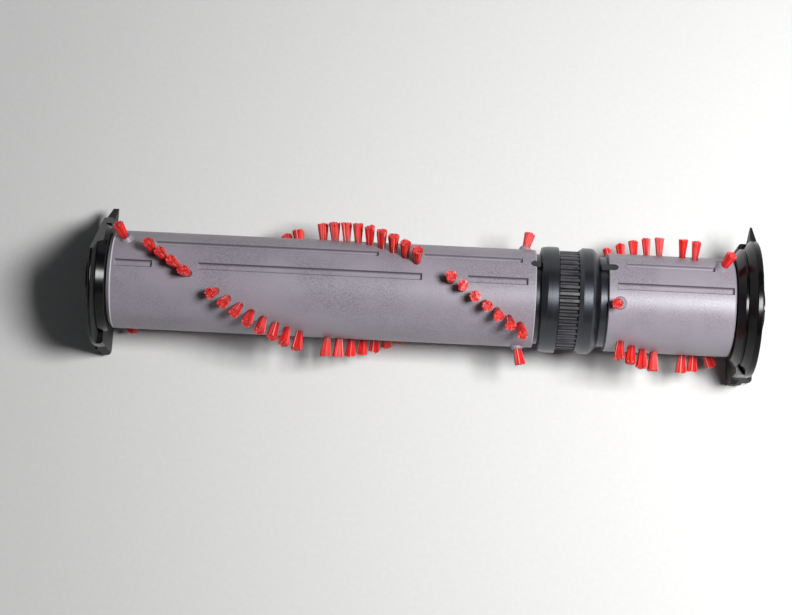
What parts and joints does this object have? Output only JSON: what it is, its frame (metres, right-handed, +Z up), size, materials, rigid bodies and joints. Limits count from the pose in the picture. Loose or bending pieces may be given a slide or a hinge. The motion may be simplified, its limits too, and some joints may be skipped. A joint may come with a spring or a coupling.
{
  "type": "geared brush roll",
  "caption": "Rotating brush roll of an upright floor cleaner: grey sleeves with helical rows of red bristle tufts, a toothed belt gear between them and a black end cap at each end.",
  "frame": {"origin": "on the axle, midway across the toothed face that the belt runs on", "axes": "+X along the axle towards the short sleeve, +Z up with both end caps standing on their feet"},
  "size_m": [0.2822, 0.0648, 0.0586],
  "materials": {
    "sleeve_grey": "moulded grey plastic, satin with a fine grain",
    "belt_black": "satin black moulded plastic with turned lines",
    "gear_black": "dark grey moulded plastic, worn by the belt",
    "bristle_red": "red nylon bristles",
    "axle_steel": "ground steel",
    "hub_black": "black moulded plastic",
    "felt_grey": "pressed felt",
    "washer_steel": "punched steel",
    "clip_steel": "spring steel",
    "bush_bronze": "sintered bronze",
    "cap_black": "glossy black moulded plastic"
  },
  "bodies": {
    "roll": {"long_sleeve": "sleeve_grey", "short_sleeve": "sleeve_grey", "left_belt_flange": "belt_black", "right_belt_flange": "belt_black", "drive_gear": "gear_black", "long_row_1_tufts": "bristle_red", "long_row_2_tufts": "bristle_red", "short_row_1_tufts": "bristle_red", "short_row_2_tufts": "bristle_red", "long_outer_tufts": "bristle_red", "long_gear_tufts": "bristle_red", "short_gear_tufts": "bristle_red", "short_outer_tufts": "bristle_red", "axle": "axle_steel", "left_end_hub": "hub_black", "right_end_hub": "hub_black", "left_felt_ring": "felt_grey", "right_felt_ring": "felt_grey", "left_thrust_washer": "washer_steel", "right_thrust_washer": "washer_steel", "left_retaining_clip": "clip_steel", "right_retaining_clip": "clip_steel"},
    "left_cap": {"left_end_cap": "cap_black", "left_bush": "bush_bronze", "left_dust_cover": "cap_black"},
    "right_cap": {"right_end_cap": "cap_black", "right_bush": "bush_bronze", "right_dust_cover": "cap_black"}
  },
  "joints": [
    {"name": "left_cap_turn", "type": "hinge", "parent": "roll", "child": "left_cap", "pos_m": [0, 0, 0], "axis": [1, 0, 0], "continuous": true},
    {"name": "right_cap_turn", "type": "hinge", "parent": "roll", "child": "right_cap", "pos_m": [0, 0, 0], "axis": [1, 0, 0], "continuous": true}
  ]
}
